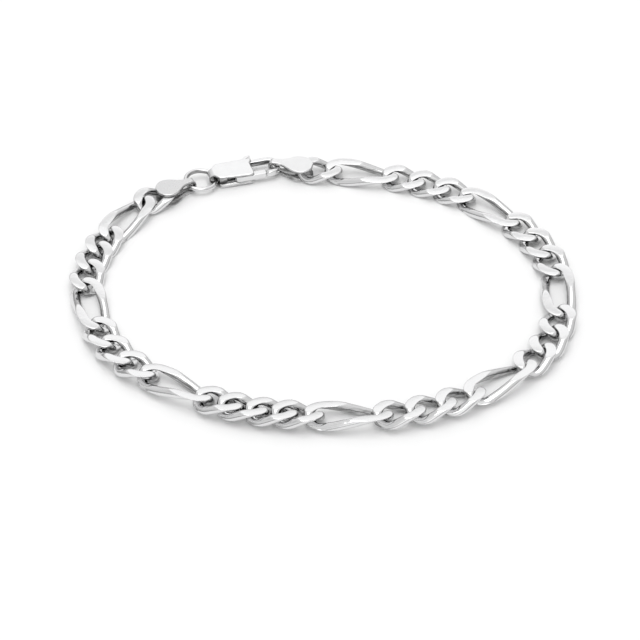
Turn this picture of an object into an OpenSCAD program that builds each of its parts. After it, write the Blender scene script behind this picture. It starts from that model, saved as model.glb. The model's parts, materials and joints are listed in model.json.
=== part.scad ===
// Link bracelet: a figaro chain in silver, fastened with a flat trigger clasp and lying in an oval loop.
// Every piece is drawn in a frame of its own, with x along the loop, y towards its middle and z up,
// and is then laid on the chord between two joints of the loop.

/* [Chain] */
// Width of the chain
chain_w = 5.2; // [5.2:0.05:5.4]
// Thickness of the chain, pressed flat above and below
chain_t = 1.6; // [1.5:0.05:1.8]
// Diameter of the links' wire
wire_d = 1.4; // [1.3:0.05:1.4]
// Outer length of a short link
short_l = 7.45; // [7.45:0.05:7.8]
// Outer length of a long link
long_l = 12.25; // [10.85:0.05:14]
// Twist of a link from its middle to each end, in degrees
link_twist = 46; // [44:1:50]
// Roll of the links as they lie, the loop's outer side up, in degrees
link_roll = 6; // [3:1:9]
// Roll of the links at the front of the loop, in degrees
front_roll = 11; // [8:1:12]
// Share by which pressing widens the wire
press_spread = 0.06; // [0:0.02:0.08]
// Play between two links drawn tight
link_play = 0.14; // [0.12:0.01:0.16]

/* [End tabs] */
// Length of the left tab, from its fold to its round end
left_tab_l = 6.8; // [6.6:0.05:7.4]
// Length of the right tab
right_tab_l = 7.4; // [6.8:0.05:7.6]
// Width of a tab at its round end
tab_w = 4.1; // [3.8:0.1:4.6]
// Width of a tab's neck
tab_neck_w = 1.2; // [1.1:0.1:1.4]
// Thickness of the tabs' strip
tab_wall = 0.42; // [0.35:0.01:0.5]
// Length of the soldered link that the left tab covers
left_hold = 3.3; // [2.4:0.1:3.6]
// Length of the soldered link that the right tab covers
right_hold = 2.6; // [1.6:0.1:3.6]
// Roll of the left tab as it lies, in degrees
left_roll = -2; // [-5:0.5:5]
// Roll of the right tab as it lies, in degrees
right_roll = -3; // [-5:0.5:5]

/* [Jump ring] */
// Outer diameter of the jump ring
ring_od = 5.6; // [5.5:0.1:5.8]
// Diameter of the jump ring's wire
ring_wire = 0.75; // [0.7:0.05:0.8]
// Slack of the jump ring at the left tab and at the clasp
ring_slack = 0.24; // [0.2:0.01:0.4]
// Tilt of the jump ring, its outer side up, in degrees
ring_tilt = 5; // [0:1:6]

/* [Clasp] */
// Length of the clasp's plates, from its tail to their front edge
shell_l = 7.4; // [7.2:0.1:8]
// Width of the plates at their front edge
shell_w = 4.55; // [4.3:0.05:4.8]
// Width of the strip where it folds round the jump ring
tail_w = 1.8; // [1.6:0.1:2]
// Height of the clasp at its tail
tail_h = 2.2; // [2.1:0.05:2.4]
// Height of the clasp at the plates' front edge
front_h = 1.65; // [1.65:0.05:1.8]
// Thickness of the plates
shell_wall = 0.3; // [0.25:0.01:0.3]
// Length of the hook ahead of the plates
hook_l = 4.8; // [4.6:0.1:5]
// Thickness of the hook and the lever
hook_t = 0.95; // [0.85:0.05:0.95]
// Width of the hook's bar
hook_bar = 0.9; // [0.85:0.05:1.1]
// Slack between the hook and the right tab's fold
hook_slack = 0.35; // [0.35:0.05:0.5]
// Diameter of the pin that the lever turns on
pin_d = 0.7; // [0.6:0.05:0.8]
// Clearance of the lever's bore round the pin
pin_play = 0.04; // [0.03:0.01:0.08]

/* [Hidden] */
// Numbers of short links before, between and after the long ones, from the left tab round to the right
GROUPS = [1, 3, 3, 4, 3, 3, 3, 3, 1];
// Links that lie pushed together: number of the link and how far its start is closed up
PUSHED = [
    [1, 0.15], [2, 0.45], [3, 0.4], [11, 1], [12, 0.5], [13, 0.95], [20, 0.1], [28, 0.15], [29, 0.15]
];
// The loop's route: points chosen along the middle of the chain, in mm, from the left tab's fold
ROUTE = [
    [-20.9, 23.1], [-24.6, 20.9], [-28.3, 18.3], [-32.6, 11], [-35.1, 3], [-35, -4], [-32.6, -10.8],
    [-28.4, -17.7], [-20, -23.9], [-11, -27.8], [-1, -29.2], [8, -29.1], [16.5, -26.9], [24.9, -22.1],
    [30.8, -16.2], [34.2, -8], [34.7, 1], [31.8, 9.6], [26.3, 16.9], [19.2, 22], [11, 25.2],
    [2, 26.8], [-2, 26.7], [-7.7, 28.2], [-13, 27.3], [-18.2, 25.3]
];
ROUTE_STEPS = 8;
// Sides of the meshed wire, and steps of the mesh round each end of a link
WIRE_SIDES = 6;
END_STEPS = 6;
// Depth by which soldered faces run into each other
SOLDER = 0.02;
// Gap between parts of the clasp that lie close without touching
FIT = 0.1;
// Flank of a tab: share of its length, share of the way from the neck's width to the full width
TAB_FLANK = [[0.24, 0], [0.33, 0.1], [0.43, 0.4], [0.53, 0.74], [0.62, 0.94]];
// Outer lengths of all the links, the soldered ones first and last
LINKS = [
    for (g = [0:len(GROUPS) - 1])
        each concat([for (k = [1:GROUPS[g]]) short_l], g < len(GROUPS) - 1 ? [long_l] : [])
];
$fn = 48;

function link_name(i) = str(i < 10 ? "link_0" : "link_", i);
function total(list, n) = n <= 0 ? 0 : list[n - 1] + total(list, n - 1);

tab_h = chain_t + 2 * tab_wall - 2 * SOLDER;
tab_fold_r = 0.75;
ring_bore = ring_od - 2 * ring_wire;
hook_r = shell_w / 2 - FIT;
// How far a flat strip of width w stays from the deepest point of a bow of inner radius r
function bow(r, w) = r - sqrt(r * r - w * w / 4);
tail_bow = bow(ring_bore / 2, tail_w);
tab_bow = bow(ring_bore / 2, tab_neck_w);
hook_bow = bow(hook_r - hook_bar, tab_neck_w) + 0.07;

// The pieces round the loop: left tab, links, right tab, clasp, jump ring
TAB_LEFT = 0;
TAB_RIGHT = len(LINKS) + 1;
CLASP = TAB_RIGHT + 1;
RING = CLASP + 1;
REACH = concat(
    [left_tab_l - tab_wall - left_hold + wire_d],
    [for (l = LINKS) l - 2 * wire_d],
    [right_tab_l - tab_wall - right_hold + wire_d, shell_l + hook_l - hook_bar - shell_wall, ring_bore]
);
// How far a link's roll has changed to that of the loop's front: number of the link and share
FRONT_SHARE = [[6, 0], [10, 1], [18, 1], [22, 0]];
function pushed(i) = let (found = [for (p = PUSHED) if (p[0] == i - 1) p]) len(found) > 0 ? found[0][1] : 0;
function roll(i) =
    i == RING ? -ring_tilt
    : i == TAB_LEFT ? left_roll
    : i == 1 ? (left_roll - link_roll) / 2
    : i == TAB_RIGHT ? right_roll
    : i == TAB_RIGHT - 1 ? (right_roll - link_roll) / 2
    : i == CLASP ? 0
    : -(link_roll + (front_roll - link_roll) * lookup(i, FRONT_SHARE));
// How far each piece overlaps the next one's chord
LAP = [
    for (i = [0:RING])
        i == TAB_LEFT || i == TAB_RIGHT - 1 ? 0
        : i < TAB_RIGHT ? link_play + pushed(i + 1)
        : i == TAB_RIGHT ? hook_slack + hook_bow
        : i == CLASP ? ring_slack + tail_bow : ring_slack + tab_bow
];
START = [for (i = [0:RING + 1]) total(REACH, i) - total(LAP, i)];
LOOP = START[RING + 1];

// Smooth closed curve through the route's points, scaled to the length of all the pieces
function spline(a, b, c, d, t) =
    0.5 * (2 * b + (c - a) * t + (2 * a - 5 * b + 4 * c - d) * t * t + (3 * b - a - 3 * c + d) * t * t * t);
function route_point(i) = ROUTE[(i + len(ROUTE)) % len(ROUTE)];
CURVE = [
    for (i = [0:len(ROUTE) - 1], k = [0:ROUTE_STEPS - 1])
        spline(route_point(i - 1), route_point(i), route_point(i + 1), route_point(i + 2), k / ROUTE_STEPS)
];
STEP_LENGTH = [for (i = [0:len(CURVE) - 1]) norm(CURVE[(i + 1) % len(CURVE)] - CURVE[i])];
CURVE_AT = [for (i = 0, at = 0; i <= len(CURVE); at = at + (i < len(CURVE) ? STEP_LENGTH[i] : 0), i = i + 1) at];
fit_scale = LOOP / CURVE_AT[len(CURVE)];
ALONG_X = [for (i = [0:len(CURVE)]) [CURVE_AT[i] * fit_scale, CURVE[i % len(CURVE)][0] * fit_scale]];
ALONG_Y = [for (i = [0:len(CURVE)]) [CURVE_AT[i] * fit_scale, CURVE[i % len(CURVE)][1] * fit_scale]];

// Height of the loop: the tabs lift the soldered links, and the long links beside them slope down
chain_z = chain_t / 2 + 0.45 * chain_w * sin(link_roll) + 0.02;
front_z = chain_t / 2 + 0.45 * chain_w * sin(front_roll) + 0.02;
left_z = tab_h / 2 + tab_w / 2 * sin(abs(left_roll)) + 0.01;
right_z = tab_h / 2 + tab_w / 2 * sin(abs(right_roll)) + 0.01;
function slope_end(tab_z) = chain_z + 0.3 * (tab_z - chain_z);
ALONG_Z = [
    [START[0], left_z], [START[2], left_z], [START[3], slope_end(left_z)], [START[3] + short_l, chain_z],
    [START[7], chain_z], [START[10], front_z], [START[20], front_z], [START[23], chain_z],
    [START[TAB_RIGHT - 2] - short_l, chain_z], [START[TAB_RIGHT - 2], slope_end(right_z)],
    [START[TAB_RIGHT - 1], right_z], [START[CLASP], right_z], [START[RING], tail_h / 2], [LOOP, left_z]
];

function route_at(s) =
    let (m = s < 0 ? s + LOOP : s > LOOP ? s - LOOP : s)
    [lookup(m, ALONG_X), lookup(m, ALONG_Y), lookup(m, ALONG_Z)];

// Each link's middle, and how far it reaches from there along x and y
SPREAD = [
    for (i = [1:len(LINKS)])
        let (
            from = route_at(START[i]),
            to = route_at(START[i] + REACH[i]),
            way = (to - from) / norm(to - from),
            half = (LINKS[i - 1] - chain_w) / 2
        )
        [(from + to) / 2, [abs(way[0]) * half + chain_w / 2, abs(way[1]) * half + chain_w / 2]]
];
// Tip of the lever's thumb piece: in the clasp's frame, then in the loop's
thumb = [shell_l + 0.4, hook_r + 1.35];
CLASP_TAIL = route_at(START[CLASP] + REACH[CLASP]);
CLASP_WAY = (route_at(START[CLASP]) - CLASP_TAIL) / REACH[CLASP];
THUMB_Y = CLASP_TAIL[1] + (thumb[0] - shell_wall) * CLASP_WAY[1] + thumb[1] * CLASP_WAY[0];

// Middle of the finished loop's outline, which is the origin
LEFT_EDGE = min([for (m = SPREAD) m[0][0] - m[1][0]]);
RIGHT_EDGE = max([for (m = SPREAD) m[0][0] + m[1][0]]);
FRONT_EDGE = min([for (m = SPREAD) m[0][1] - m[1][1]]);
MIDDLE = [(LEFT_EDGE + RIGHT_EDGE) / 2, (FRONT_EDGE + THUMB_Y) / 2, 0];

function on_loop(s) = route_at(s) - MIDDLE;

// Lays a piece on its chord, with the piece's middle at the chord's middle; some pieces are drawn backwards
module lay(i, backwards = false) {
    from = on_loop(START[i]);
    to = on_loop(START[i] + REACH[i]);
    way = backwards ? from - to : to - from;
    translate((from + to) / 2)
        rotate([(backwards ? -1 : 1) * roll(i), -atan2(way[2], norm([way[0], way[1]])), atan2(way[1], way[0])])
            children();
}

// A link: a racetrack of wire, twisted about its length and pressed flat above and below
function racetrack(l) =
    let (straight = (l - chain_w) / 2, bend = (chain_w - wire_d) / 2, step = 180 / END_STEPS)
    concat(
        [for (k = [0:END_STEPS]) let (a = -90 + k * step) [straight + bend * cos(a), bend * sin(a), a]],
        [[0, bend, 90]],
        [for (k = [0:END_STEPS]) let (a = 90 + k * step) [-straight + bend * cos(a), bend * sin(a), a]],
        [[0, -bend, 270]]
    );
function link_section(l, s) =
    let (
        twist = -link_twist * s[0] / (l / 2 - wire_d / 2),
        pressed = min(1, abs(s[1] * sin(twist)) / (chain_t / 2))
    )
    [
        for (k = [0:WIRE_SIDES - 1])
            let (
                a = k * 360 / WIRE_SIDES,
                out = wire_d / 2 * cos(a) * (1 + press_spread * pressed),
                up = wire_d / 2 * sin(a),
                x = s[0] + out * cos(s[2]),
                y = s[1] + out * sin(s[2]),
                z = y * sin(twist) + up * cos(twist)
            )
            [x, y * cos(twist) - up * sin(twist), max(-chain_t / 2, min(chain_t / 2, z))]
    ];
module link(l) {
    stations = racetrack(l);
    n = len(stations);
    points = [for (s = stations) each link_section(l, s)];
    function at(i, k) = (i % n) * WIRE_SIDES + k % WIRE_SIDES;
    faces = [
        for (i = [0:n - 1], k = [0:WIRE_SIDES - 1])
            each [[at(i, k), at(i, k + 1), at(i + 1, k + 1)], [at(i, k), at(i + 1, k + 1), at(i + 1, k)]]
    ];
    polyhedron(points, faces, convexity = 6);
}
module chain_link(i) lay(i) link(LINKS[i - 1]);

// A strip folded in two, seen from the side, with its fold at x = 0: an outline rounded over the length r
module fold_profile(h_fold, h_end, l, r) {
    translate([r, 0])
        scale([2 * r / h_fold, 1])
            circle(d = h_fold);
    polygon([[r, -h_fold / 2], [l, -h_end / 2], [l, h_end / 2], [r, h_fold / 2]]);
}
module folded_strip(h_fold, h_end, l, wall, width, r) {
    rotate([90, 0, 0])
        linear_extrude(width, center = true)
            difference() {
                fold_profile(h_fold, h_end, l, r);
                translate([wall, 0])
                    fold_profile(h_fold - 2 * wall, h_end - 2 * wall, l, r - wall);
            }
}

// An end tab from its fold, at x = 0, to its round end
function tab_half_width(share) = tab_neck_w / 2 + share * (tab_w - tab_neck_w) / 2;
module tab_outline(l) {
    flank = concat([[0, 0]], TAB_FLANK, [[1 - tab_w / 2 / l, 1]]);
    n = len(flank) - 1;
    polygon(concat(
        [for (i = [0:n]) [flank[i][0] * l, -tab_half_width(flank[i][1])]],
        [for (i = [n:-1:0]) [flank[i][0] * l, tab_half_width(flank[i][1])]]
    ));
    translate([l - tab_w / 2, 0])
        circle(d = tab_w);
}
module tab(l) {
    intersection() {
        folded_strip(tab_h, tab_h, l, tab_wall, 2 * tab_w, tab_fold_r);
        linear_extrude(2 * tab_h, center = true)
            tab_outline(l);
    }
}
module end_tab_left() {
    color("silver") {
        lay(TAB_LEFT)
            translate([-REACH[TAB_LEFT] / 2 - tab_wall, 0, 0])
                tab(left_tab_l);
        chain_link(1);
    }
}
module end_tab_right() {
    color("silver") {
        lay(TAB_RIGHT, backwards = true)
            translate([-REACH[TAB_RIGHT] / 2 - tab_wall, 0, 0])
                tab(right_tab_l);
        chain_link(len(LINKS));
    }
}

module jump_ring() {
    color("silver")
        lay(RING)
            translate([-0.02, -0.25, 0])
                rotate_extrude()
                    translate([(ring_od - ring_wire) / 2, 0])
                        circle(d = ring_wire, $fn = 24);
}

// The clasp is drawn from its tail, at x = 0, to its hook; its gate is on the side of y below 0
module lay_clasp()
    lay(CLASP, backwards = true)
        translate([-REACH[CLASP] / 2 - shell_wall, 0, 0])
            children();
hook_centre = shell_l + hook_l - hook_r;
gate_end = shell_l + 1.95;
front_lip = 0.35;
heel_from = 1.75;
heel_to = 3;
root_l = 0.7;
pivot = [shell_l - 2.4, -hook_r + 0.85];
hub_r = 0.8;
gate_w = 1.1;
arm_w = 0.6;
pin_depth = 0.15;
pivot_h = tail_h - (tail_h - front_h) * (pivot[0] - tail_h / 2) / (shell_l - tail_h / 2) - 2 * shell_wall;
pin_l = pivot_h + 2 * pin_depth;

// The plates' outline: half widths from the tail to the front edge
SHELL_FLANK = [
    [0, tail_w / 2], [0.75, tail_w / 2 + 0.05], [1.15, tail_w / 2 + 0.27], [1.5, shell_w / 2 - 0.4],
    [1.9, shell_w / 2 - 0.28], [2.5, shell_w / 2 - 0.22], [shell_l, shell_w / 2]
];
module shell_outline() {
    n = len(SHELL_FLANK) - 1;
    polygon(concat(
        [for (i = [0:n]) [SHELL_FLANK[i][0], -SHELL_FLANK[i][1]]],
        [[shell_l - 0.1, -0.6], [shell_l - 0.1, shell_w / 2 - 1.2], [shell_l + front_lip, shell_w / 2 - 0.3]],
        [[shell_l + front_lip, shell_w / 2]],
        [for (i = [n - 1:-1:0]) SHELL_FLANK[i]]
    ));
}
module hook_outline() {
    difference() {
        union() {
            translate([hook_centre, 0])
                circle(r = hook_r);
            translate([shell_l - root_l, -hook_r])
                square([hook_centre - shell_l + root_l, 2 * hook_r]);
        }
        translate([hook_centre, 0])
            circle(r = hook_r - hook_bar);
        translate([shell_l - root_l - 1, -hook_r + hook_bar])
            square([hook_centre - shell_l + root_l + 1, 2 * (hook_r - hook_bar)]);
        translate([shell_l - root_l - 1, -shell_w])
            square([gate_end + FIT - shell_l + root_l + 1, shell_w]);
    }
}
// What fills the gap between the plates: the heel behind the lever, and the hook's root
module core_outline() {
    translate([heel_from, -shell_w / 2 + 0.3])
        square([heel_to - heel_from, shell_w - 0.6]);
    translate([shell_l - root_l, hook_r - hook_bar])
        square([root_l - 0.2, hook_bar]);
}
module clasp_body() {
    color("silver")
        lay_clasp()
            difference() {
                union() {
                    intersection() {
                        folded_strip(tail_h, front_h, shell_l + front_lip, shell_wall, 2 * shell_w, tail_h / 2);
                        linear_extrude(2 * tail_h, center = true)
                            shell_outline();
                    }
                    intersection() {
                        rotate([90, 0, 0])
                            linear_extrude(2 * shell_w, center = true)
                                fold_profile(tail_h - SOLDER, front_h - SOLDER, shell_l + front_lip, tail_h / 2);
                        linear_extrude(2 * tail_h, center = true)
                            core_outline();
                    }
                    linear_extrude(hook_t, center = true)
                        hook_outline();
                }
                translate([pivot[0], pivot[1], 0])
                    cylinder(d = pin_d + 2 * pin_play, h = pin_l + 2 * pin_play, center = true);
            }
}
module clasp_lever() {
    exit = [shell_l - 1.45, hook_r + 0.15];
    color("gainsboro")
        lay_clasp()
            difference() {
                linear_extrude(hook_t, center = true) {
                    translate(pivot)
                        circle(r = hub_r);
                    polygon([
                        [pivot[0], -hook_r], [gate_end - 0.12, -hook_r], [gate_end, -hook_r + 0.25],
                        [gate_end, -hook_r + gate_w], [pivot[0], -hook_r + gate_w]
                    ]);
                    polygon([
                        [pivot[0] - arm_w / 2, pivot[1]], [pivot[0] + arm_w, pivot[1]],
                        [exit[0] + arm_w / 2, exit[1] - 0.3], [thumb[0] + 0.1, thumb[1] - arm_w / 2],
                        [thumb[0], thumb[1]], [thumb[0] - arm_w, thumb[1] - 0.1], [exit[0] - arm_w / 2, exit[1]]
                    ]);
                }
                translate([pivot[0], pivot[1], 0])
                    cylinder(d = pin_d + 2 * pin_play, h = 2 * hook_t, center = true);
            }
}
module lever_pin() {
    color("gray")
        lay_clasp()
            translate([pivot[0], pivot[1], 0])
                cylinder(d = pin_d, h = pin_l, center = true);
}

for (i = [1:len(LINKS) - 2])
    color("silver")
            chain_link(i + 1);
end_tab_left();
end_tab_right();
jump_ring();
clasp_body();
clasp_lever();
lever_pin();
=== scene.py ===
"""Looks for the link bracelet.

Fine links, end tabs, jump ring and clasp in polished silver, with the floor, the light and the camera.
"""
import json
import math

import bmesh
import bpy
import numpy as np
from mathutils import Matrix, Vector

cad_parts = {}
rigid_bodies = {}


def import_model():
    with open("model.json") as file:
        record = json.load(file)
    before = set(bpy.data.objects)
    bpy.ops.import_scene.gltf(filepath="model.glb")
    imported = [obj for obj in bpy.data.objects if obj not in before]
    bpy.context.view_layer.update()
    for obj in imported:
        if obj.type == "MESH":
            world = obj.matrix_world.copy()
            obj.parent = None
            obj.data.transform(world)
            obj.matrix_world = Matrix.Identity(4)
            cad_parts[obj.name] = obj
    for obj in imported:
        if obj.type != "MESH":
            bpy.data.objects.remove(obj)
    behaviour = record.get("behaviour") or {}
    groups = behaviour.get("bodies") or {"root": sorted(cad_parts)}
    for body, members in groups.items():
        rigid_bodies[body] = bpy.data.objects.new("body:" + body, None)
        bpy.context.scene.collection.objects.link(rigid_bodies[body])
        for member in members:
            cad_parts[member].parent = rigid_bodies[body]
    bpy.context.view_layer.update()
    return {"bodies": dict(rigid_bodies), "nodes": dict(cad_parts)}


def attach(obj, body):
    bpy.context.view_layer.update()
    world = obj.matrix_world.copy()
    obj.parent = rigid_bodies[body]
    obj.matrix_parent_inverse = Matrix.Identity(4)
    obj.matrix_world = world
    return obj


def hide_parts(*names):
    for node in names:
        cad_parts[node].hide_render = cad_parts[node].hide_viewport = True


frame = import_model()
MM = 0.001

# Sizes in mm and angles in degrees, as in the part's source
CHAIN_W, CHAIN_T, WIRE_D = 5.2, 1.6, 1.4
SHORT_L, LONG_L = 7.45, 12.25
LINK_TWIST, LINK_ROLL, FRONT_ROLL = 46.0, 6.0, 11.0
PRESS_SPREAD, LINK_PLAY = 0.06, 0.14
LEFT_TAB_L, RIGHT_TAB_L, TAB_W, TAB_NECK_W, TAB_WALL = 6.8, 7.4, 4.1, 1.2, 0.42
LEFT_HOLD, RIGHT_HOLD, LEFT_ROLL, RIGHT_ROLL = 3.3, 2.6, -2.0, -3.0
RING_OD, RING_WIRE, RING_SLACK, RING_TILT = 5.6, 0.75, 0.24, 5.0
SHELL_L, SHELL_W, TAIL_W, TAIL_H, FRONT_H, SHELL_WALL = 7.4, 4.55, 1.8, 2.2, 1.65, 0.3
HOOK_L, HOOK_T, HOOK_BAR, HOOK_SLACK, HOOK_PLAY = 4.8, 0.95, 0.9, 0.35, 0.07
SOLDER, FIT, FRONT_LIP, TAB_FOLD_R = 0.02, 0.1, 0.35, 0.75
# Numbers of short links before, between and after the long ones, from the left tab round to the right
GROUPS = [1, 3, 3, 4, 3, 3, 3, 3, 1]
# How far a link's roll has changed to that of the loop's front: number of the piece and share
FRONT_SHARE = [(6, 0), (10, 1), (18, 1), (22, 0)]
# Links that lie pushed together: number of the link and how far its start is closed up
PUSHED = {1: 0.15, 2: 0.45, 3: 0.4, 11: 1.0, 12: 0.5, 13: 0.95, 20: 0.1, 28: 0.15, 29: 0.15}
# The loop's route: points along the middle of the chain, from the left tab's fold
ROUTE = [
    (-20.9, 23.1), (-24.6, 20.9), (-28.3, 18.3), (-32.6, 11), (-35.1, 3), (-35, -4), (-32.6, -10.8),
    (-28.4, -17.7), (-20, -23.9), (-11, -27.8), (-1, -29.2), (8, -29.1), (16.5, -26.9), (24.9, -22.1),
    (30.8, -16.2), (34.2, -8), (34.7, 1), (31.8, 9.6), (26.3, 16.9), (19.2, 22), (11, 25.2),
    (2, 26.8), (-2, 26.7), (-7.7, 28.2), (-13, 27.3), (-18.2, 25.3),
]
ROUTE_STEPS = 8
# Flank of a tab: share of its length, share of the way from the neck's width to the full width
TAB_FLANK = [(0.24, 0), (0.33, 0.1), (0.43, 0.4), (0.53, 0.74), (0.62, 0.94)]

# The loop's height: where across its width a rolled link rests, the clearances, and the slope's share
REST_SHARE, CHAIN_GAP, TAB_GAP, SLOPE_SHARE = 0.45, 0.02, 0.01, 0.3

LINKS = []
for g, count in enumerate(GROUPS):
    LINKS += [SHORT_L] * count
    if g < len(GROUPS) - 1:
        LINKS.append(LONG_L)

TAB_H = CHAIN_T + 2 * TAB_WALL - 2 * SOLDER
RING_BORE = RING_OD - 2 * RING_WIRE
HOOK_R = SHELL_W / 2 - FIT


def bow(r, w):
    """How far a flat strip of width w stays from the deepest point of a bow of inner radius r."""
    return r - math.sqrt(r * r - w * w / 4)


# The pieces round the loop, by number: left tab, links, right tab, clasp, jump ring
TAB_LEFT = 0
TAB_RIGHT = len(LINKS) + 1
CLASP = TAB_RIGHT + 1
RING = CLASP + 1
REACH = [LEFT_TAB_L - TAB_WALL - LEFT_HOLD + WIRE_D]
REACH += [length - 2 * WIRE_D for length in LINKS]
REACH += [RIGHT_TAB_L - TAB_WALL - RIGHT_HOLD + WIRE_D]
REACH += [SHELL_L + HOOK_L - HOOK_BAR - SHELL_WALL, RING_BORE]


def roll(i):
    """Turn of piece i about its chord, in degrees."""
    if i == RING:
        return -RING_TILT
    if i == TAB_LEFT:
        return LEFT_ROLL
    if i == 1:
        return (LEFT_ROLL - LINK_ROLL) / 2
    if i == TAB_RIGHT:
        return RIGHT_ROLL
    if i == TAB_RIGHT - 1:
        return (RIGHT_ROLL - LINK_ROLL) / 2
    if i == CLASP:
        return 0.0
    share = float(np.interp(i, [p[0] for p in FRONT_SHARE], [p[1] for p in FRONT_SHARE]))
    return -(LINK_ROLL + (FRONT_ROLL - LINK_ROLL) * share)


def lap(i):
    """How far piece i overlaps the next one's chord."""
    if i in (TAB_LEFT, TAB_RIGHT - 1):
        return 0.0
    if i < TAB_RIGHT:
        return LINK_PLAY + PUSHED.get(i, 0.0)
    if i == TAB_RIGHT:
        return HOOK_SLACK + bow(HOOK_R - HOOK_BAR, TAB_NECK_W) + HOOK_PLAY
    if i == CLASP:
        return RING_SLACK + bow(RING_BORE / 2, TAIL_W)
    return RING_SLACK + bow(RING_BORE / 2, TAB_NECK_W)


START = [0.0]
for i in range(RING + 1):
    START.append(START[-1] + REACH[i] - lap(i))
LOOP = START[-1]


def spline(a, b, c, d, t):
    """Point at share t of the way from b to c, on a smooth curve through a, b, c and d."""
    square = (2 * a - 5 * b + 4 * c - d) * t * t
    cube = (3 * b - a - 3 * c + d) * t ** 3
    return 0.5 * (2 * b + (c - a) * t + square + cube)


# Smooth closed curve through the route's points, scaled to the length of all the pieces
points = [np.array(p, float) for p in ROUTE]
curve = []
for i in range(len(points)):
    around = [points[(i + k) % len(points)] for k in (-1, 0, 1, 2)]
    curve += [spline(*around, k / ROUTE_STEPS) for k in range(ROUTE_STEPS)]
curve.append(curve[0])
curve = np.array(curve)
along = np.concatenate([[0], np.cumsum(np.linalg.norm(np.diff(curve, axis=0), axis=1))])
fit_scale = LOOP / along[-1]
along = along * fit_scale
curve = curve * fit_scale


def link_height(turn):
    """Height of a link's middle over the floor, when the link lies rolled by turn."""
    return CHAIN_T / 2 + REST_SHARE * CHAIN_W * math.sin(math.radians(turn)) + CHAIN_GAP


def tab_height(turn):
    """Height of a tab's middle over the floor, when the tab lies rolled by turn."""
    return TAB_H / 2 + TAB_W / 2 * math.sin(math.radians(abs(turn))) + TAB_GAP


CHAIN_Z, FRONT_Z = link_height(LINK_ROLL), link_height(FRONT_ROLL)
LEFT_Z, RIGHT_Z = tab_height(LEFT_ROLL), tab_height(RIGHT_ROLL)
HEIGHTS = [
    (START[0], LEFT_Z), (START[2], LEFT_Z), (START[3], CHAIN_Z + SLOPE_SHARE * (LEFT_Z - CHAIN_Z)),
    (START[3] + SHORT_L, CHAIN_Z), (START[7], CHAIN_Z), (START[10], FRONT_Z), (START[20], FRONT_Z),
    (START[23], CHAIN_Z), (START[TAB_RIGHT - 2] - SHORT_L, CHAIN_Z),
    (START[TAB_RIGHT - 2], CHAIN_Z + SLOPE_SHARE * (RIGHT_Z - CHAIN_Z)),
    (START[TAB_RIGHT - 1], RIGHT_Z), (START[CLASP], RIGHT_Z), (START[RING], TAIL_H / 2), (LOOP, LEFT_Z),
]
height_at, height_z = zip(*HEIGHTS)


def route_at(s):
    """Point on the loop's middle line at the length s along it."""
    s = s + LOOP if s < 0 else s - LOOP if s > LOOP else s
    x, y = np.interp(s, along, curve[:, 0]), np.interp(s, along, curve[:, 1])
    return np.array([x, y, np.interp(s, height_at, height_z)])


# Tip of the lever's thumb piece in the clasp's frame, and the middle of the loop's outline, the origin
THUMB = (SHELL_L + 0.4, HOOK_R + 1.35)
lows, highs = [], []
for i, length in enumerate(LINKS, 1):
    a, b = route_at(START[i]), route_at(START[i] + REACH[i])
    way = np.abs((b - a) / np.linalg.norm(b - a))
    spread = way * (length - CHAIN_W) / 2 + CHAIN_W / 2
    lows.append((a + b) / 2 - spread)
    highs.append((a + b) / 2 + spread)
low, high = np.min(lows, axis=0), np.max(highs, axis=0)
tail = route_at(START[CLASP] + REACH[CLASP])
clasp_way = (route_at(START[CLASP]) - tail) / REACH[CLASP]
thumb_y = tail[1] + (THUMB[0] - SHELL_WALL) * clasp_way[1] + THUMB[1] * clasp_way[0]
MIDDLE = np.array([(low[0] + high[0]) / 2, (low[1] + thumb_y) / 2, 0])


def lay(i, backwards=False):
    """Matrix, in mm, that puts a piece drawn in its own frame on its chord of the loop."""
    a, b = route_at(START[i]) - MIDDLE, route_at(START[i] + REACH[i]) - MIDDLE
    way = a - b if backwards else b - a
    turn = Matrix.Rotation(math.atan2(way[1], way[0]), 4, "Z")
    pitch = Matrix.Rotation(-math.atan2(way[2], math.hypot(way[0], way[1])), 4, "Y")
    tilt = Matrix.Rotation(math.radians(-roll(i) if backwards else roll(i)), 4, "X")
    return Matrix.Translation(Vector((a + b) / 2)) @ turn @ pitch @ tilt


# Share of the softening that the marked rims on a piece's lower side get
LOWER_RIM = 0.2


def make(name, verts, faces, matrix, node, body, slot, smooth=True, painted_shade=None, rims=()):
    """One piece from points in mm in its own frame, laid on its chord.

    The painted-shade values are 1 at the points painted darker as shade, and rims are the edges that
    soften() rounds.
    """
    mesh = bpy.data.meshes.new(name)
    placed = [tuple(c * MM for c in (matrix @ Vector(v))) for v in verts]
    mesh.from_pydata(placed, [], [tuple(f) for f in faces])
    mesh.validate()
    bm = bmesh.new()
    bm.from_mesh(mesh)
    bmesh.ops.recalc_face_normals(bm, faces=bm.faces)
    weight = bm.edges.layers.float.new("bevel_weight_edge")
    bm.verts.ensure_lookup_table()
    for a, b in rims:
        edge = bm.edges.get((bm.verts[a], bm.verts[b]))
        if edge:
            edge[weight] = 1.0 if verts[a][2] + verts[b][2] > 0 else LOWER_RIM
    bm.to_mesh(mesh)
    bm.free()
    # Painted shade: stored as a point attribute that the materials darken the colour by
    shade_of = mesh.attributes.new("painted_shade", "FLOAT", "POINT")
    shade_of.data.foreach_set("value", np.array(painted_shade or [0.0] * len(verts), np.float32))
    for p in mesh.polygons:
        p.use_smooth = smooth
    o = bpy.data.objects.new(name, mesh)
    bpy.context.scene.collection.objects.link(o)
    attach(o, body)
    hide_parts(node)
    return o


def soften(o, width, segments, angle=35, marked=False):
    """Rounds the sharp rims of a piece, or only its marked ones, and keeps its flat faces flat."""
    m = o.modifiers.new("rim", "BEVEL")
    m.width = width * MM
    m.segments = segments
    m.limit_method = "WEIGHT" if marked else "ANGLE"
    m.angle_limit = math.radians(angle)
    m.use_clamp_overlap = False
    m.harden_normals = True
    return o


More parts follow.
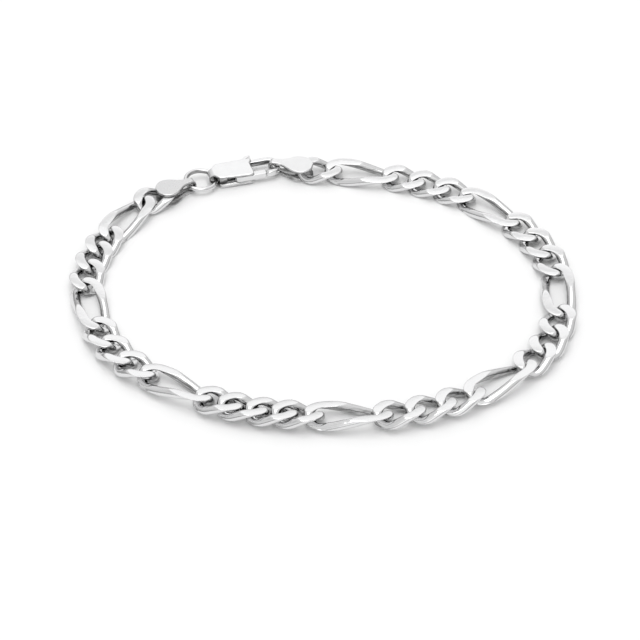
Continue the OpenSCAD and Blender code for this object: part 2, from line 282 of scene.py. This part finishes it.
def fade(value, start, span, full=1.0):
    """0 up to start, rising to full over the span after it."""
    return max(0.0, min(full, (value - start) / span))


def polar(centre, r, angle):
    """Point at distance r from a centre, in the direction of an angle in degrees."""
    return centre[0] + r * math.cos(math.radians(angle)), centre[1] + r * math.sin(math.radians(angle))


def ring_faces(n, k):
    """Quads of a closed tube with n stations of k points."""
    return [
        (i * k + j, i * k + (j + 1) % k, (i + 1) % n * k + (j + 1) % k, (i + 1) % n * k + j)
        for i in range(n) for j in range(k)
    ]


# Links: steps of the mesh, the pressed flats' height, crown, soft edge and bow, and where painted shade
# darkens the wire
BEND_STEPS, RUN_STEP, WIRE_SIDES = 30, 0.2, 44
FLAT_Z, FLAT_CROWN, FLAT_EDGE, FLAT_BOW = CHAIN_T / 2 - 0.025, 0.06, 0.1, 0.06
END_FADE, INSIDE_FADE, OUTSIDE_FADE = (0.35, 0.4), (0.6, 0.3), (0.55, 0.3)
INSIDE_SHADE, INSIDE_END, OUTSIDE_SHADE = 0.7, 0.3, 0.75


def pressed_to(z, share):
    """Height after pressing: nearly flat, with a soft edge, a slight crown and a bow.

    share is how far along the link the point is, from 0 at its middle to 1 at its ends.
    """
    u = abs(z)
    top = FLAT_Z + FLAT_CROWN * (u - FLAT_Z) - FLAT_BOW * share * share
    h = max(0.0, min(1.0, 0.5 + 0.5 * (top - u) / FLAT_EDGE))
    return math.copysign(top * (1 - h) + u * h - FLAT_EDGE * h * (1 - h), z)


def link_points(length):
    """A racetrack of wire, twisted about its length and pressed flat above and below.

    The wire's inner side is painted darker as shade everywhere, and its outer side at the link's ends.
    """
    straight, bend = (length - CHAIN_W) / 2, (CHAIN_W - WIRE_D) / 2
    run = round(2 * straight / RUN_STEP)
    stations = []
    for side in (0, 180):
        sign = 1 if side == 0 else -1
        for k in range(BEND_STEPS + 1):
            a = side - 90 + 180 * k / BEND_STEPS
            r = math.radians(a)
            stations.append((sign * straight + bend * math.cos(r), bend * math.sin(r), a))
        for k in range(1, run):
            stations.append((sign * straight * (1 - 2 * k / run), sign * bend, side + 90))
    out, painted_shade = [], []
    for x0, y0, a in stations:
        twist = math.radians(-LINK_TWIST * x0 / (length / 2 - WIRE_D / 2))
        pressed = min(1, abs(y0 * math.sin(twist)) / (CHAIN_T / 2))
        ca, sa = math.cos(math.radians(a)), math.sin(math.radians(a))
        at_end = fade(abs(ca), *END_FADE)
        for k in range(WIRE_SIDES):
            t = 2 * math.pi * k / WIRE_SIDES
            go = WIRE_D / 2 * math.cos(t) * (1 + PRESS_SPREAD * pressed)
            up = WIRE_D / 2 * math.sin(t)
            x, y = x0 + go * ca, y0 + go * sa
            z = y * math.sin(twist) + up * math.cos(twist)
            # Painted shade: darker on the wire's inner side, more so at the ends, and on its outer side
            # at the ends, but not on the flats
            inside = fade(-math.cos(t), *INSIDE_FADE) * (INSIDE_SHADE + INSIDE_END * at_end)
            outside = OUTSIDE_SHADE * (fade(math.cos(t), *OUTSIDE_FADE) * at_end)
            painted_shade.append(max(inside, outside) if abs(z) < FLAT_Z else 0.0)
            flat_y = y * math.cos(twist) - up * math.sin(twist)
            out.append((x, flat_y, pressed_to(z, 2 * x / length)))
    return (out, ring_faces(len(stations), WIRE_SIDES)), painted_shade


FOLD_STEP = 6


def folded(h_fold, h_end, length, wall, r, half_width, stations, front=None):
    """A strip folded at x = 0, painted darker as shade on its inside.

    It is h_fold high where the fold's rounding of length r ends, and h_end high at the tip. half_width(x)
    is its outline, and stations are the x values of its points beyond the fold. Where front is given,
    each plate goes on from the last station to an edge that runs through these points (x, y).
    """
    arc = [math.radians(a) for a in range(0, 91, FOLD_STEP)]
    rows = []
    for d in (0, wall):
        h0, h1, rr = h_fold / 2 - d, h_end / 2 - d, r - d
        side = [(d + rr - rr * math.cos(t), h0 * math.sin(t)) for t in arc]
        side += [(x, h0 + (h1 - h0) * (x - r) / (length - r)) for x in stations]
        rows.append([(x, -z) for x, z in reversed(side[1:])] + side)
    verts, faces = [], []
    n = len(rows[0])
    for row in rows:
        for x, z in row:
            w = half_width(x)
            verts += [(x, -w, z), (x, w, z)]
    # Painted shade: the inner faces, and below the inner loop of each front edge, are painted darker
    painted_shade = [0.0] * 2 * n + [1.0] * 2 * n
    rims = [(2 * j + k, 2 * j + 2 + k) for j in range(n - 1) for k in (0, 1)]
    for j in range(n - 1):
        o, i = 2 * j, 2 * n + 2 * j
        faces += [(o, o + 1, o + 3, o + 2), (i, i + 2, i + 3, i + 1)]
        faces += [(o, o + 2, i + 2, i), (o + 1, i + 1, i + 3, o + 3)]
    if front is None:
        faces += [(0, 2 * n, 2 * n + 1, 1), (2 * n - 2, 2 * n - 1, 4 * n - 1, 4 * n - 2)]
        rims += [(0, 1), (2 * n - 2, 2 * n - 1)]
        return verts, faces, painted_shade, rims
    rise = (h_end / 2 - h_fold / 2) / (length - r)
    for sign, ends in ((-1, (0, 2 * n)), (1, (2 * n - 2, 4 * n - 2))):
        loops = []
        for deep, first in enumerate(ends):
            x_at, _, z_at = verts[first]
            base = len(verts)
            verts += [(x, y, z_at + sign * rise * (x - x_at)) for x, y in front]
            painted_shade += [float(deep)] * len(front)
            loops.append([first] + list(range(base, base + len(front))) + [first + 1])
            faces.append(tuple(loops[-1]))
        outer, inner = loops
        for k in range(len(outer) - 1):
            faces.append((outer[k], outer[k + 1], inner[k + 1], inner[k]))
            rims.append((outer[k], outer[k + 1]))
    return verts, faces, painted_shade, rims


CORNER_STEPS, INNER_SIDE = 4, 0.85


def sweep(path, half_w, half_t, round_r):
    """A bar of rounded rectangular section along (x, y, direction in degrees), painted darker as shade on
    its right side.
    """
    section = []
    for cx, cy, a0 in ((1, 1, 0), (-1, 1, 90), (-1, -1, 180), (1, -1, 270)):
        corner = (cx * (half_w - round_r), cy * (half_t - round_r))
        section += [polar(corner, round_r, a0 + 90 * k / CORNER_STEPS) for k in range(CORNER_STEPS + 1)]
    n, k = len(path), len(section)
    verts, painted_shade = [], []
    for x, y, d in path:
        nx, ny = -math.sin(math.radians(d)), math.cos(math.radians(d))
        verts += [(x + nx * a, y + ny * a, b) for a, b in section]
        # Painted shade on the bar's inner, right side
        painted_shade += [1.0 if a < -INNER_SIDE * half_w else 0.0 for a, b in section]
    faces = ring_faces(n, k)[:(n - 1) * k]
    faces += [tuple(range(k - 1, -1, -1)), tuple(range((n - 1) * k, n * k))]
    return verts, faces, painted_shade


def plate(outline, z0, z1):
    """An outline extruded from z0 to z1."""
    n = len(outline)
    verts = [(x, y, z0) for x, y in outline] + [(x, y, z1) for x, y in outline]
    faces = [tuple(range(n - 1, -1, -1)), tuple(range(n, 2 * n))]
    faces += [(i, (i + 1) % n, n + (i + 1) % n, n + i) for i in range(n)]
    return verts, faces


# A frame without the lever's joint has one body, root
body = "bracelet" if "bracelet" in frame["bodies"] else "root"
lever_body = "lever" if "lever" in frame["bodies"] else body
pieces = []

# Links, the first and last of which are soldered into the end tabs
SHORT, LONG = link_points(SHORT_L), link_points(LONG_L)
for i, length in enumerate(LINKS, 1):
    shape, painted_shade = LONG if length == LONG_L else SHORT
    if i == 1:
        name, node = "soldered_link_left", "end_tab_left"
    elif i == len(LINKS):
        name, node = "soldered_link_right", "end_tab_right"
    else:
        node = f"link_{i - 1:02d}"
        name = "silver_" + node
    pieces.append(make(name, *shape, lay(i), node, body, "silver", painted_shade=painted_shade))

# End tabs; TAB_TIP is the least square of the half width, at the tip of the round end
TAB_OUTLINE_STEPS, TAB_SMOOTHINGS, TAB_STATIONS, TAB_TIP, TAB_RIM = 60, 24, 34, 0.02, 0.14


def tab_shape(length):
    """A tab's strip: a neck at the fold, widening in a smooth line to a round end."""
    flank = [(0.0, 0.0)] + TAB_FLANK + [(1 - TAB_W / 2 / length, 1.0)]
    share = [p[0] * length for p in flank]
    width = [TAB_NECK_W / 2 + p[1] * (TAB_W - TAB_NECK_W) / 2 for p in flank]
    fine_x = np.linspace(0, share[-1], TAB_OUTLINE_STEPS)
    fine_w = np.interp(fine_x, share, width)
    for _ in range(TAB_SMOOTHINGS):
        fine_w[1:-1] = (fine_w[:-2] + 2 * fine_w[1:-1] + fine_w[2:]) / 4
    centre = length - TAB_W / 2

    def half_width(x):
        if x <= centre:
            return float(np.interp(x, fine_x, fine_w))
        return math.sqrt(max(TAB_TIP, (TAB_W / 2) ** 2 - (x - centre) ** 2))

    stations = list(np.linspace(TAB_FOLD_R, centre, TAB_STATIONS)[1:])
    stations += [centre + TAB_W / 2 * math.sin(math.radians(a)) for a in range(6, 85, 6)]
    return folded(TAB_H, TAB_H, length, TAB_WALL, TAB_FOLD_R, half_width, stations)


for name, node, i, length, back in (
    ("tab_left", "end_tab_left", TAB_LEFT, LEFT_TAB_L, False),
    ("tab_right", "end_tab_right", TAB_RIGHT, RIGHT_TAB_L, True),
):
    seat = lay(i, back) @ Matrix.Translation((-REACH[i] / 2 - TAB_WALL, 0, 0))
    verts, faces, painted_shade, rims = tab_shape(length)
    o = make(name, verts, faces, seat, node, body, "silver", True, painted_shade, rims)
    pieces.append(soften(o, TAB_RIM, 4, marked=True))

# Jump ring, painted darker as shade on its inside
RING_STEPS, RING_SIDES = 120, 32
RING_FADE, RING_SHIFT = (0.2, 0.5, 0.8), (-0.02, -0.25, 0)
verts, painted_shade = [], []
for i in range(RING_STEPS):
    a = 2 * math.pi * i / RING_STEPS
    for k in range(RING_SIDES):
        t = 2 * math.pi * k / RING_SIDES
        r = (RING_OD - RING_WIRE) / 2 + RING_WIRE / 2 * math.cos(t)
        verts.append((r * math.cos(a), r * math.sin(a), RING_WIRE / 2 * math.sin(t)))
        # Painted shade on the ring's inner side
        painted_shade.append(fade(-math.cos(t), *RING_FADE))
seat = lay(RING) @ Matrix.Translation(RING_SHIFT)
faces = ring_faces(RING_STEPS, RING_SIDES)
pieces.append(make("ring_of_wire", verts, faces, seat, "jump_ring", body, "silver", painted_shade=painted_shade))

# Clasp: its shell of two folded plates, the heel between them, and the hook
HOOK_C = SHELL_L + HOOK_L - HOOK_R
GATE_END, ROOT_L, BAR_STEP, HOOK_ROUND = SHELL_L + 1.95, 0.7, 0.6, 0.2
HEEL_FROM, HEEL_TO, HEEL_NEAR, HEEL_FAR = 1.75, 3.0, -1.3, 1.6
SHELL_SMOOTHING, SHELL_RIM, HEEL_RIM, LEVER_RIM, HEEL_GAP = 0.25, 0.22, 0.04, 0.09, 0.03
NEAR, FAR, LIP = -SHELL_W / 2, SHELL_W / 2, SHELL_L + FRONT_LIP
# The plates' half widths from the tail to the front edge, and the front edge from side to side
SHELL_FLANK = [
    (0, TAIL_W / 2), (0.75, TAIL_W / 2 + 0.05), (1.15, TAIL_W / 2 + 0.27), (1.5, FAR - 0.4),
    (1.9, FAR - 0.28), (2.5, FAR - 0.22), (SHELL_L, FAR),
]
SHELL_FRONT = [
    (SHELL_L - 0.5, NEAR + 0.03), (SHELL_L - 0.24, NEAR + 0.12), (SHELL_L - 0.06, NEAR + 0.32),
    (SHELL_L, NEAR + 0.6), (SHELL_L, -0.9), (SHELL_L - 0.08, 0), (SHELL_L - 0.1, FAR - 1.2),
    (LIP, FAR - 0.3), (LIP, FAR),
]
SHELL_STATIONS = list(np.linspace(TAIL_H / 2, 2.7, 16)[1:]) + [4.0, 5.5, 6.6]


def shell_half(x):
    """Half the shell's width at x, with the flank's corners smoothed."""
    xs = np.linspace(x - SHELL_SMOOTHING, x + SHELL_SMOOTHING, 9)
    return float(np.mean(np.interp(xs, [p[0] for p in SHELL_FLANK], [p[1] for p in SHELL_FLANK])))


seat = lay(CLASP, True) @ Matrix.Translation((-REACH[CLASP] / 2 - SHELL_WALL, 0, 0))
verts, faces, painted_shade, rims = folded(
    TAIL_H, FRONT_H, LIP, SHELL_WALL, TAIL_H / 2, shell_half, SHELL_STATIONS, SHELL_FRONT,
)
o = make("clasp_shell", verts, faces, seat, "clasp_body", body, "silver", True, painted_shade, rims)
pieces.append(soften(o, SHELL_RIM, 5, marked=True))

inner_h = TAIL_H / 2 - SHELL_WALL - HEEL_GAP
outline = [(HEEL_FROM, HEEL_NEAR), (HEEL_TO, HEEL_NEAR), (HEEL_TO, HEEL_FAR), (HEEL_FROM, HEEL_FAR)]
heel = plate(outline, -inner_h, inner_h)
# Painted shade: the heel between the plates is painted dark all over
o = make("clasp_heel", *heel, seat, "clasp_body", body, "silver", False, [1.0] * len(heel[0]))
pieces.append(soften(o, HEEL_RIM, 2))

mid_r = HOOK_R - HOOK_BAR / 2
path = [(SHELL_L - ROOT_L, mid_r, 0), (SHELL_L + BAR_STEP, mid_r, 0)]
path += [(*polar((HOOK_C, 0), mid_r, a), a - 90) for a in range(90, -91, -5)]
path.append((GATE_END + FIT, -mid_r, 180))
verts, faces, painted_shade = sweep(path, HOOK_BAR / 2, HOOK_T / 2, HOOK_ROUND)
pieces.append(make("clasp_hook", verts, faces, seat, "clasp_body", body, "silver", True, painted_shade))

# Lever: the gate's tip, the arm out to the thumb piece, and the hub round the pin
HUB_R, HUB_IN, ARM_W, THUMB_LEAN, GATE_W, GATE_CUT = 0.8, 0.78, 0.6, 0.1, 1.1, (0.12, 0.25)
px, py = SHELL_L - 2.4, -HOOK_R + 0.85
ex, ey = SHELL_L - 1.45, HOOK_R + 0.15
gate_in = -HOOK_R + GATE_W
outline = [(GATE_END - GATE_CUT[0], -HOOK_R), (GATE_END, -HOOK_R + GATE_CUT[1]), (GATE_END, gate_in)]
outline += [(px + HUB_IN, gate_in), (ex + ARM_W / 2, ey - ARM_W / 2)]
outline += [(THUMB[0] + THUMB_LEAN, THUMB[1] - ARM_W / 2), THUMB]
outline += [(THUMB[0] - ARM_W, THUMB[1] - THUMB_LEAN), (ex - ARM_W / 2, ey)]
outline += [polar((px, py), HUB_R, a) for a in range(98, 263, 8)]
outline += [(px, -HOOK_R)]
lever = plate(outline, -HOOK_T / 2, HOOK_T / 2)
o = make("lever_blade", *lever, seat, "clasp_lever", lever_body, "lever_silver", False)
pieces.append(soften(o, LEVER_RIM, 3, 30))


# Materials
def nodes_of(name):
    """A new material, its node tree and its main shader."""
    mat = bpy.data.materials.new(name)
    mat.use_nodes = True
    return mat, mat.node_tree, mat.node_tree.nodes["Principled BSDF"]


def feed(tree, node, inputs):
    """Gives each named input its value, or links the output that it is given."""
    for name, given in inputs.items():
        if isinstance(given, bpy.types.NodeSocket):
            tree.links.new(given, node.inputs[name])
        else:
            node.inputs[name].default_value = given


def add(tree, kind, inputs):
    """A new node with its inputs fed."""
    node = tree.nodes.new(kind)
    feed(tree, node, inputs)
    return node


def mixed(tree, blend, factor, a, b):
    """Colour made from two others."""
    node = tree.nodes.new("ShaderNodeMix")
    node.data_type = "RGBA"
    node.blend_type = blend
    feed(tree, node, {"Factor": factor, "A": a, "B": b})
    return node.outputs["Result"]


def ranged(tree, value, low, high, to_low=0.0, to_high=1.0):
    """A value's span from low to high, mapped to another span."""
    span = {"Value": value, "From Min": low, "From Max": high, "To Min": to_low, "To Max": to_high}
    return add(tree, "ShaderNodeMapRange", span).outputs["Result"]


def noise(tree, place, scale, detail):
    """Noise over the points that place puts out."""
    spots = add(tree, "ShaderNodeTexNoise", {"Vector": place, "Scale": scale, "Detail": detail})
    return spots.outputs["Fac"]


# The streaks', the wide unevenness's and the grain's noise, and the spans of noise that are used
STREAK_SCALE, STREAK_STRETCH, STREAK_SPAN = 900, (0.6, 0.6, 4), (0.4, 0.6)
PATCH_SCALE, PATCH_SPAN = 700, (0.3, 0.7)
GRAIN_SCALE, GRAIN_DETAIL, GRAIN_DEPTH = 2600, 5, 0.00004
WIDE_DETAIL, BLUE_TINT = 3, 1.005


def silver(name, tone, rough, bump, shade_span, wave):
    """Polished silver: uneven gloss, fine grain, and painted shade, a streaked darker grey where the
    shade attribute is set.

    tone is its grey, rough is the lowest and highest roughness, the following pair is the lowest and
    highest grey of the painted shade, bump is the grain's strength and wave is the depth of the wider
    unevenness in mm.
    """
    mat, tree, bsdf = nodes_of(name)
    # Painted shade: where the shade attribute is 1, the base colour turns to a streaked darker grey
    painted_shade = tree.nodes.new("ShaderNodeAttribute")
    painted_shade.attribute_name = "painted_shade"
    place = tree.nodes.new("ShaderNodeTexCoord").outputs["Object"]
    stretched = add(tree, "ShaderNodeMapping", {"Vector": place, "Scale": STREAK_STRETCH})
    streaks = noise(tree, stretched.outputs["Vector"], STREAK_SCALE, WIDE_DETAIL)
    patches = noise(tree, place, PATCH_SCALE, WIDE_DETAIL)
    grains = noise(tree, place, GRAIN_SCALE, GRAIN_DETAIL)
    polished = (tone, tone, tone * BLUE_TINT, 1)
    # Painted shade colour: the streaks mapped between the two greys of the shade
    shade_colour = ranged(tree, streaks, *STREAK_SPAN, *shade_span)
    grain = add(tree, "ShaderNodeBump", {"Strength": bump, "Distance": GRAIN_DEPTH, "Height": grains})
    swell = add(tree, "ShaderNodeBump", {
        "Strength": 1.0, "Distance": wave * MM, "Height": patches, "Normal": grain.outputs["Normal"],
    })
    feed(tree, bsdf, {
        "Base Color": mixed(tree, "MIX", painted_shade.outputs["Fac"], polished, shade_colour),
        "Metallic": 1.0,
        "Roughness": ranged(tree, patches, *PATCH_SPAN, *rough),
        "Normal": swell.outputs["Normal"],
    })
    return mat


wire_silver = silver("wire_silver", 0.75, (0.05, 0.13), 0.1, (0.04, 0.42), 0.03)
plate_silver = silver("plate_silver", 0.79, (0.16, 0.28), 0.16, (0.2, 0.55), 0.01)
brushed_silver = silver("brushed_silver", 0.645, (0.2, 0.32), 0.2, (0.15, 0.5), 0.01)
dark_silver = silver("pin_steel", 0.6, (0.2, 0.3), 0.1, (0.2, 0.4), 0.01)
finishes = {"tab_left": brushed_silver}
finishes.update({name: plate_silver for name in ("tab_right", "clasp_shell", "clasp_heel")})
for o in pieces:
    o.data.materials.append(finishes.get(o.name, wire_silver))
pin = frame["nodes"]["lever_pin"]
pin.data.materials.clear()
pin.data.materials.append(dark_silver)

# Floor
FLOOR_SIZE, FLOOR_GREY, FLOOR_ROUGH = 6, 0.92, 0.65
bpy.ops.mesh.primitive_plane_add(size=FLOOR_SIZE, location=(0, 0, 0))
floor = bpy.context.object
floor.name = "floor"
mat, tree, bsdf = nodes_of("floor_paper")
feed(tree, bsdf, {"Base Color": (FLOOR_GREY, FLOOR_GREY, FLOOR_GREY, 1), "Roughness": FLOOR_ROUGH})
floor.data.materials.append(mat)

# Light: a bright surround that is darker near the floor, at both sides and in a band below the top
WORLD_STRENGTH = 1.31
world = bpy.data.worlds.new("studio")
bpy.context.scene.world = world
world.use_nodes = True
tree = world.node_tree
coord = tree.nodes.new("ShaderNodeTexCoord")
split = add(tree, "ShaderNodeSeparateXYZ", {"Vector": coord.outputs["Generated"]})


def ramp_of(source, low, stops):
    """Grey that follows a direction's part: stops are (share of the way from low to 1, grey)."""
    ramp = add(tree, "ShaderNodeValToRGB", {"Fac": ranged(tree, source, low, 1)})
    elements = ramp.color_ramp.elements
    for at, grey in stops:
        e = elements[0] if at == 0 else elements[-1] if at == 1 else elements.new(at)
        e.color = (grey, grey, grey, 1)
    return ramp.outputs["Color"]


by_height = ramp_of(split.outputs["Z"], 0, [
    (0, 0.42), (0.2, 0.5), (0.33, 0.8), (0.42, 0.93), (0.52, 0.95), (0.6, 0.92), (0.7, 0.74),
    (0.76, 0.97), (0.86, 1.0), (1, 0.86),
])
by_depth = ramp_of(split.outputs["Y"], -1, [(0, 1.0), (0.33, 1.0), (0.5, 0.88), (0.72, 1.0), (1, 1.0)])
by_side = ramp_of(split.outputs["X"], -1, [
    (0, 0.68), (0.27, 0.68), (0.35, 0.8), (0.43, 1.0), (0.57, 1.0), (0.65, 0.8), (0.73, 0.68), (1, 0.68),
])
surround = mixed(tree, "MULTIPLY", 1.0, mixed(tree, "MULTIPLY", 1.0, by_height, by_depth), by_side)
feed(tree, tree.nodes["Background"], {"Color": surround, "Strength": WORLD_STRENGTH})

KEY_PLACE, KEY_TARGET, KEY_SIZE, KEY_POWER = (-0.04, 0.0, 0.5), (0, 0, 0), (0.42, 0.32), 0.73
key_data = bpy.data.lights.new("key", "AREA")
key_data.shape = "RECTANGLE"
key_data.size, key_data.size_y = KEY_SIZE
key_data.energy = KEY_POWER
key = bpy.data.objects.new("key", key_data)
bpy.context.scene.collection.objects.link(key)
key.location = KEY_PLACE
key.rotation_euler = (Vector(KEY_TARGET) - Vector(KEY_PLACE)).to_track_quat("-Z", "Y").to_euler()

# Camera: solved from the loop's outline, as (x, y, z) in mm in the route's frame
CAMERA_PLACE = (-0.6, -177.8, 148.94)
CAMERA_DOWN, CAMERA_FIELD, SENSOR = 41.3, 23.37, 36
camera_data = bpy.data.cameras.new("camera")
camera_data.sensor_width = SENSOR
camera_data.lens = SENSOR / 2 / math.tan(math.radians(CAMERA_FIELD / 2))
camera_data.clip_start, camera_data.clip_end = 0.005, 20
camera = bpy.data.objects.new("camera", camera_data)
bpy.context.scene.collection.objects.link(camera)
camera.location = [c * MM - m * MM for c, m in zip(CAMERA_PLACE, MIDDLE)]
camera.rotation_euler = (math.radians(90 - CAMERA_DOWN), 0, 0)
bpy.context.scene.camera = camera
bpy.context.scene.view_settings.view_transform = "Standard"
